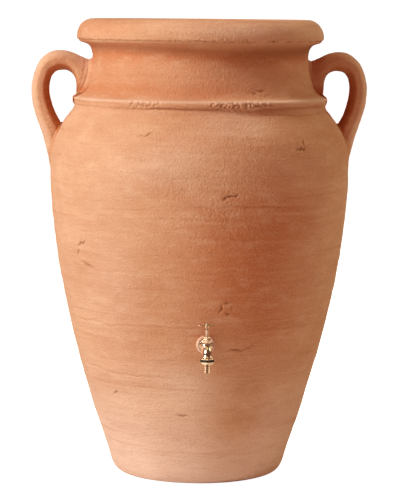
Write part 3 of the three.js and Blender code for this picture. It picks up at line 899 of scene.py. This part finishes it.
def flared(points, root_z, spread):
    """Points near the vessel pushed along its surface away from the middle of the root.

    The flare is rounded, has a shallow crease along its outer edge, and is weaker up and down.
    """
    x, y, z = points.T
    rho = np.hypot(x, y)
    away = rho - outline_radius(z)
    closeness = np.clip(1 - away / spread, 0, 1)
    push = spread * closeness**1.5 - 1.6 * bell(away - spread, 2.2)
    out_y, out_z = y, z - root_z
    length = np.maximum(np.hypot(out_y, out_z), 1e-6)
    y = y + push * out_y / length
    z = z + push * out_z / length * 0.55
    rho = outline_radius(z) + np.maximum(away, -1.5)
    x = np.sqrt(np.maximum(rho**2 - y**2, 0))
    return np.column_stack([x, y, z])


def ear_handle(name, side):
    """An ear handle with flared roots and a slightly uneven, hand-worked surface."""
    points, centre = handle_points()
    ring_number = np.repeat(np.arange(HANDLE_RINGS), HANDLE_SIDES)
    upper = ring_number < UPPER_RINGS
    points[upper] = flared(points[upper], UPPER_ROOT_Z, UPPER_FLARE)
    points[~upper] = flared(points[~upper], LOWER_ROOT_Z, LOWER_FLARE)
    middle = np.column_stack([centre[:, 0], np.zeros(HANDLE_RINGS), centre[:, 1]])
    out = points - middle[ring_number]
    out /= np.maximum(np.linalg.norm(out, axis=1, keepdims=True), 1e-6)
    away = np.hypot(points[:, 0], points[:, 1]) - outline_radius(points[:, 2])
    uneven = 0.9 * layered(points / 60.0 + 9 * side, 81, 2) + 0.45 * layered(points / 14.0, 85, 3)
    fold = 1.0 * bell(away - 15 - 4 * noise(points / 30.0, 83), 3.6) * upper
    points = points + out * (ramp(away, 0, 8) * uneven - fold)[:, None]
    points[:, 0] = np.minimum(points[:, 0], HANDLE_REACH)
    facing = np.tile(np.cos(full_turn(HANDLE_SIDES)), HANDLE_RINGS)  # 1 outwards, -1 inwards
    # Painted light on the outer face, painted shade on the inner face and where the handle meets
    # the vessel.
    tone_and_painted_light = 0.25 * ramp(facing, 0.2, 0.8) - 0.95 * ramp(-facing, 0.05, 0.5) - 0.5 * bell(away, 6)
    # More painted shade on the inner face, away from the vessel.
    shade = 0.32 * ramp(-facing, 0.3, 0.7) * ramp(away, 4, 20)
    if side < 0:
        points[:, :2] *= -1
    ends = [points[:HANDLE_SIDES].mean(0), points[-HANDLE_SIDES:].mean(0)]
    faces = [block[:, ::-1] for block in capped_faces(HANDLE_RINGS, HANDLE_SIDES)]
    made = new_mesh(name, np.vstack([points, ends]) * MM, faces)
    store(made, "tone_and_painted_light", np.clip(tone_and_painted_light, -1, 1))
    store(made, "painted_shade", shade)
    return made


finish_piece(bored_skin(), CLAY, "vessel", "vessel_shell")
finish_piece(ear_handle("right_ear", 1), HANDLE_CLAY, "vessel", "right_handle")
finish_piece(ear_handle("left_ear", -1), HANDLE_CLAY, "vessel", "left_handle")

# ---- lid
SCREW_CIRCLE = 251.0  # mm, the radius that the lid's screws stand on
SCREWS = [
    (SCREW_CIRCLE * math.cos(turn), SCREW_CIRCLE * math.sin(turn), 0)
    for turn in np.radians([90, 210, 330])
]
LID_CROWN = 1141.0
CUP_R = 60.0  # radius of the cup that the grip bar crosses
LID_SLOPE = 6 / 168  # fall of the crown outwards from the cup


def crown_z(r):
    return LID_CROWN - (r - CUP_R) * LID_SLOPE


def groove(r, half, depth):
    """Points of a moulded ring groove in the lid's crown, from outside inwards."""
    floor = crown_z(r) - depth
    return [(r + half + 1.2, crown_z(r + half + 1.2)), (r + half, floor), (r - half, floor),
            (r - half - 1.2, crown_z(r - half - 1.2))]


def screw_holes(radius, low, high):
    return [rod("hole", radius, low, high, place) for place in SCREWS]


def lid_panel():
    outline = [
        (0, 1104), (56, 1104), (61, 1137), (225, 1131), (233, 1124), (233, 1104), (237, 1104),
        (237, 1124), (259.5, 1124), (259.5, 1129), (238, 1129), (228, 1135), *groove(208, 3, 1.6),
        *groove(120, 2, 1.2), *groove(108, 2, 1.2), (CUP_R, LID_CROWN), (56, 1139.5), (51, 1108),
        (0, 1108),
    ]
    panel = turned("lid_dome", outline, 240, 1.6)
    bar = slab("bar", (116, 24, 9), (0, 0, 1135.5), 3.2)
    combined(panel, [bar])
    return creased(bored(panel, screw_holes(4.5, 1120, 1133)), 32)


def lid_screw(name, at):
    outline = [
        (0, 1111), (2.9, 1111), (3.9, 1112), (3.9, 1131), (8.9, 1131), (9.5, 1131.6),
        (9.5, 1137.4), (8.6, 1138.6), (7, 1139), (0, 1139),
    ]
    screw = turned(name, outline, 144, 0.4)
    knurl(screw, 1131.3, 1137.9, 8.8, 24, 0.8)
    bored(screw, [slab("slot", (15, 2, 4), (0, 0, 1139), 0.3)])
    move(screw, at)
    return creased(screw)


def lid_ledge():
    ledge = ring("lid_ledge", 240, 263, 1112.2, 1120, radius=0.8, sides=240)
    return creased(bored(ledge, screw_holes(6.3, 1110, 1122)))


finish_piece(lid_ledge(), LEDGE_PLASTIC, "vessel", "vessel_shell")
finish_piece(lid_panel(), LID_PLASTIC, "lid", "lid_panel")
seal = ring("lid_seal_ring", 240.8, 244.2, 1120.3, 1123.7, radius=1.2, sides=180)
finish_piece(seal, RUBBER, "lid", "lid_seal")
for number, place in enumerate(SCREWS, 1):
    screw = lid_screw(f"thumb_screw_{number}", place)
    finish_piece(screw, LID_PLASTIC, f"lid_fastener_{number}", f"lid_screw_{number}")
    washer = ring(f"screw_washer_{number}", 4.3, 9, 1129.3, 1130.7, place)
    finish_piece(washer, STEEL, f"lid_washer_{number}", f"lid_screw_washer_{number}")
    insert = ring(f"threaded_insert_{number}", 4.3, 6, 1112, 1119.7, place)
    finish_piece(insert, BRASS, "vessel", f"lid_insert_{number}")

# ---- tap
# Outlines here are in mm from TAP, STEM, NOZZLE or BAR.
SPOUT_BEND = 19.0  # radius of the spout's bend
SEAT_TOP = -1.0  # from the stem's middle, the top of the valve seat
BAR = STEM + [0, 0, 53.5]  # middle of the tee handle's bar
FEED = TAP - [0, 0, 7]  # where the water enters the chamber, below the seat


def spout_bend(name, radius, start):
    """A round tube bending from the valve chamber forwards and down to the nozzle."""
    steps, sides = 28, 64  # rings along the bend and points round each
    turn = np.linspace(start, math.pi / 2, steps)
    centre = np.column_stack([
        turn * 0, STEM[1] - SPOUT_BEND * np.sin(turn),
        STEM[2] + SEAT_TOP - SPOUT_BEND * (1 - np.cos(turn)),
    ])
    up = np.column_stack([turn * 0, -np.sin(turn), np.cos(turn)])
    angle = full_turn(sides)
    rings = (centre[:, None] + radius * np.cos(angle)[:, None] * up[:, None]
             + radius * np.sin(angle)[:, None] * [1, 0, 0])
    vertices = np.vstack([rings.reshape(-1, 3), centre[[0, -1]]]) * MM
    return new_mesh(name, vertices, capped_faces(steps, sides))


def tap_casting():
    """Inlet, collar, valve chamber, spout and nozzle flowing together, then bored out."""
    chamber = [
        (0, -15), (7, -14.2), (11, -11.6), (13.6, -7.6), (15, -3), (15, 6.4), (14.3, 7.4),
        (14.6, 8.6), (14.2, 10), (0, 10),
    ]
    nozzle = [
        (0, -30.5), (12.4, -30.5), (13, -29.7), (13, -21), (13.4, -20.8), (13.4, -19.6),
        (11, -18.6), (10, -16), (0, -15.5),
    ]
    inlet = [
        (0, -18), (9.7, -18), (10.5, -17), (10.5, 3), (16, 3), (16, 6.5), (13, 7.6), (10.8, 10),
        (9.6, 14), (9.6, 32), (0, 32),
    ]
    body = turned("tap_casting", chamber, 96, 0.5, STEM)
    others = [
        turned("nozzle", nozzle, 96, 0.4, NOZZLE),
        turned("inlet", inlet, 96, 0.5, TAP, "-Y"),
        spout_bend("bend", 10, 0),
    ]
    melt(combined(body, others), 0.42, 9)
    bores = [
        rod("bore", 11.6, SEAT_TOP, 11, STEM),
        rod("seat", 5.5, -9, 0, STEM),
        rod("inlet_bore", 6.5, -19, 16.5, TAP, "-Y"),
        rod("feed", 4.6, 14, 42, FEED, "-Y"),
        spout_bend("waterway", 5, 0.62),
        rod("outlet", 6.5, -31.5, -19, NOZZLE),
    ]
    return creased(bored(body, bores), 50)


def bonnet():
    core = [
        (9.2, 2), (11.2, 2), (11.2, 11), (12.4, 11.4), (12.4, 20.6), (10.6, 21.2), (9.4, 22),
        (6.1, 22), (6.1, 25.4), (5.2, 25.4), (5.2, 21.4), (3.9, 21.4), (3.9, 19.2), (5.4, 19.2),
        (5.4, 9), (9.2, 9),
    ]
    made = looped("valve_bonnet", core, 96, 0.3, STEM)
    flats = [(9.6, 11.9), (12.6, 11.9), (14, 13), (14, 19.2), (12.6, 20.4), (9.6, 20.4)]
    combined(made, [hexed("flats", flats, 24, STEM)])
    return creased(made, 24)


def tee_handle():
    hub = [(0, -6.6), (3.9, -6.6), (4.8, -4), (4.8, 2.3), (3.8, 3.5), (0, 3.5)]
    arm = [
        (0, -18.2), (1.4, -17.9), (2.3, -17), (2.7, -15.5), (2.4, -13.9), (1.9, -12.6),
        (1.85, -8), (2.2, -3), (2.2, 3), (1.85, 8), (1.9, 12.6), (2.4, 13.9), (2.7, 15.5),
        (2.3, 17), (1.4, 17.9), (0, 18.2),
    ]
    made = turned("tee_bar", hub, 64, 0.5, BAR)
    combined(made, [turned("arm", arm, 48, 0.4, BAR, "X")])
    melt(made, 0.24, 3)
    cuts = [rod("stem_hole", 3.3, -8, 1.9, BAR), rod("screw_hole", 1.7, 1.5, 4.5, BAR)]
    return creased(bored(made, cuts), 50)


def handle_screw():
    outline = [(0, -3), (1.3, -3), (1.3, 3.8), (3, 3.8), (3, 4.7), (1.8, 5.7), (0, 5.7)]
    made = turned("bar_screw", outline, 48, 0.2, BAR)
    slot = slab("slot", (7, 0.7, 1.4), BAR + [0, 0, 5.7], 0)
    return creased(bored(made, [slot]))


def grip_ring():
    outline = [(14.6, -30.6), (16.7, -30.6), (16.9, -27.9), (16.7, -25.2), (14.6, -25.2)]
    made = looped("rubber_grip", outline, 288, 0.5)
    knurl(made, -30.3, -25.5, 15.8, 48, 0.7)
    move(made, NOZZLE)
    return creased(made, 60)


def tap_boss():
    outline = [(16.3, -26), (23, -26), (23, -3.4), (20.4, -0.2), (19.6, 0), (16.3, 0)]
    boss = looped("tap_boss", outline, 96, 0.9, TAP, "-Y")
    store(boss, "tone_and_painted_light", [0.5] * len(boss.data.vertices))
    return creased(boss)


GLAND_NUT = [
    (6.4, 22.3), (8.4, 22.3), (9.3, 23.1), (9.3, 26.4), (8.1, 27.6), (6.8, 28), (3.9, 28),
    (3.9, 25.9), (6.4, 25.9),
]
SPINDLE = [
    (0, 10.5), (2.4, 10.5), (2.4, 4.4), (5, 4.4), (5, 14), (3.5, 14.3), (3.5, 30), (3.2, 30.3),
    (3.2, 31), (3.5, 31.3), (3.5, 46.5), (3, 46.8), (3, 55), (1.7, 55), (1.7, 49), (0, 49),
]
JUMPER = [(0, -3.4), (1.8, -3.4), (1.8, 2.1), (8.5, 2.1), (8.5, 4.1), (2, 4.1), (2, 9.8), (0, 9.8)]
UNION_NUT = [
    (9.2, -36.4), (15, -36.4), (17.4, -34.4), (17.4, -30.9), (14.3, -30.9), (14.3, -24.9),
    (17.4, -24.9), (17.4, -23.5), (15, -21.5), (13.4, -21.5), (13.4, -34.2), (9.2, -34.2),
]
BARB = [(7.6, 0.2), (8.7, 4.4), (8.6, 4.7), (7.6, 4.8)]
BARBS = [(r, low + z) for low in (-57, -51.4, -45.8) for r, z in BARB]
HOSE_TAIL = [
    (6, -58), (7.1, -58), (7.4, -57), *BARBS, (7.8, -40.4), (8.3, -39), (8.7, -38.4),
    (8.7, -34.1), (12.8, -34.1), (12.8, -32.6), (6, -32.6),
]
BUSH = [(16, -26.3), (16, -0.3), (10.9, -0.3), (10.9, -29), (20, -29), (20, -26.3)]
DISC_NUT = [(2.1, -3.1), (3.4, -3.1), (3.7, -2.8), (3.7, -1.4), (3.4, -1.1), (2.1, -1.1)]
TAP_PIECES = [
    (tap_boss(), HANDLE_CLAY, "vessel", "vessel_shell"),
    (looped("boss_bush", BUSH, 72, 0.3, TAP, "-Y"), CAST_BRASS, "vessel", "boss_insert"),
    (ring("inlet_seal", 10.9, 15.5, 0.3, 2.7, TAP, "-Y"), RUBBER, "vessel", "inlet_washer"),
    (tap_casting(), CAST_BRASS, "vessel", "tap_body"),
    (bonnet(), BRASS, "vessel", "bonnet"),
    (ring("bonnet_seal", 11.5, 13.6, 10.2, 11.6, STEM), FIBRE, "vessel", "bonnet_gasket"),
    (ring("stem_packing", 3.8, 4.9, 21.7, 25.4, STEM), FIBRE, "vessel", "gland_packing"),
    (hexed("packing_nut", GLAND_NUT, 16, STEM), BRASS, "vessel", "gland_nut"),
    (creased(turned("valve_stem", SPINDLE, 64, 0.2, STEM)), BRASS, "valve_spindle", "spindle"),
    (tee_handle(), BRASS, "valve_spindle", "tee_handle"),
    (handle_screw(), STEEL, "valve_spindle", "handle_screw"),
    (creased(turned("valve_disc", JUMPER, 64, 0.2, STEM)), BRASS, "valve_jumper", "jumper"),
    (ring("disc_washer", 2.2, 8.2, -0.7, 1.8, STEM), RUBBER, "valve_jumper", "jumper_washer"),
    (hexed("disc_nut", DISC_NUT, 6.4, STEM), BRASS, "valve_jumper", "jumper_nut"),
    (hexed("hose_union_nut", UNION_NUT, 30, NOZZLE), BRASS, "coupling_nut", "union_nut"),
    (grip_ring(), RUBBER, "coupling_nut", "nut_grip_ring"),
    (ring("hose_washer", 6, 12.6, -32.3, -30.8, NOZZLE), RUBBER, "hose_connector", "union_washer"),
    (creased(looped("barbed_tail", HOSE_TAIL, 96, 0.2, NOZZLE), 40), BRASS, "hose_connector",
     "hose_tail"),
]
for tap_piece in TAP_PIECES:
    finish_piece(*tap_piece)

# ---- stage, light and camera
VIEW_AZIMUTH = -3.4  # degrees that the camera stands off the tap's axis
CAMERA_DISTANCE = 5.5
CAMERA_HEIGHT = 1.17
CAMERA_OFFSET = 0.0061  # metres to the right of the line of sight
CAMERA_PITCH = 6.29
CAMERA_ROLL = 0.5
LENS = 156.1
SOFTBOX_DISTANCE = 7.5
SOFTBOX_SIZE = 2.8
SOFTBOX_TARGET_Z = 0.6
FLOOR_HALF = 30.0
FLOOR_Z = -0.0006
FLOOR_MIRRORED = rgb(0.16, 0.10, 0.065)  # what the brass mirrors of the floor, dead ahead
FLOOR_ASIDE = rgb(0.86, 0.77, 0.67)  # and off to either side


def add_camera():
    a = math.radians(VIEW_AZIMUTH)
    back = Vector((math.sin(a), -math.cos(a), 0))
    right = Vector((math.cos(a), math.sin(a), 0))
    data = bpy.data.cameras.new("camera")
    data.lens = LENS
    data.clip_start, data.clip_end = 0.1, 200
    camera = new_object("camera", data)
    up = Vector((0, 0, CAMERA_HEIGHT))
    camera.location = back * CAMERA_DISTANCE + right * CAMERA_OFFSET + up
    pitch = math.radians(CAMERA_PITCH)
    forward = -back * math.cos(pitch) - Vector((0, 0, math.sin(pitch)))
    turn = forward.to_track_quat("-Z", "Y").to_matrix()
    roll = Matrix.Rotation(math.radians(CAMERA_ROLL), 3, "Z")
    camera.rotation_euler = (turn @ roll).to_euler()
    bpy.context.scene.camera = camera


def add_softbox(name, azimuth, elevation, power, colour):
    """A square area light aimed at the vessel, its azimuth counted from the camera."""
    a, e = math.radians(VIEW_AZIMUTH + azimuth), math.radians(elevation)
    data = bpy.data.lights.new(name, "AREA")
    data.shape = "SQUARE"
    data.size = SOFTBOX_SIZE
    data.energy = power
    data.color = colour
    lamp = new_object(name, data)
    target = Vector((0, 0, SOFTBOX_TARGET_Z))
    way = Vector((math.sin(a) * math.cos(e), -math.cos(a) * math.cos(e), math.sin(e)))
    lamp.location = target + way * SOFTBOX_DISTANCE
    lamp.rotation_euler = (-way).to_track_quat("-Z", "Y").to_euler()


def add_world(seen, diffuse, glossy):
    """A backdrop with one colour to the camera, one as light and one in reflections."""
    world = bpy.data.worlds.new("studio")
    bpy.context.scene.world = world
    n = Nodes(world)
    path = n.add("ShaderNodeLightPath")
    lit = n.mix(path.outputs["Is Glossy Ray"], rgb(*diffuse), rgb(*glossy))
    shown = n.mix(path.outputs["Is Camera Ray"], lit, rgb(*seen))
    n.fill(n.tree.nodes["Background"], {"Color": shown})


def add_floor():
    """A wide pale floor just under the base, with a glow that only the camera sees."""
    corners = [(-1, -1), (1, -1), (1, 1), (-1, 1)]
    vertices = [(x * FLOOR_HALF, y * FLOOR_HALF, FLOOR_Z) for x, y in corners]
    floor = new_mesh("studio_floor", vertices, [np.array([[0, 1, 2, 3]])])
    n = material_nodes("studio_white")
    cloud = n.noise((0.6, 0.6, 0.6), 2.0, 0.5)
    pale = n.mix(cloud, rgb(0.88, 0.88, 0.88), rgb(0.91, 0.91, 0.91))
    path = n.add("ShaderNodeLightPath")
    axes = n.add("ShaderNodeSeparateXYZ", Vector=n.object)
    across = n.math("ABSOLUTE", axes.outputs["X"])
    ahead = n.math("ABSOLUTE", axes.outputs["Y"])
    aside = n.range(n.math("DIVIDE", across, ahead), 0.25, 0.6)
    mirrored = n.mix(aside, FLOOR_MIRRORED, FLOOR_ASIDE)
    colour = n.mix(path.outputs["Is Glossy Ray"], pale, mirrored)
    seen = path.outputs["Is Camera Ray"]
    floor.data.materials.append(n.surface(
        Base_Color=colour, Roughness=0.9, Emission_Color=rgb(1, 1, 1), Emission_Strength=seen,
    ))


add_camera()
add_floor()
add_world(seen=(1.1, 1.1, 1.1), diffuse=(0.27, 0.05, 0.02), glossy=(0.12, 0.07, 0.045))
add_softbox("key", -60, 35, 690, (0.78, 0.98, 1.0))
add_softbox("top", 0, 86, 70, (0.86, 1.0, 0.6))
add_softbox("rim", 115, 32, 215, (0.70, 1.0, 0.75))
bpy.context.scene.view_settings.view_transform = "Standard"
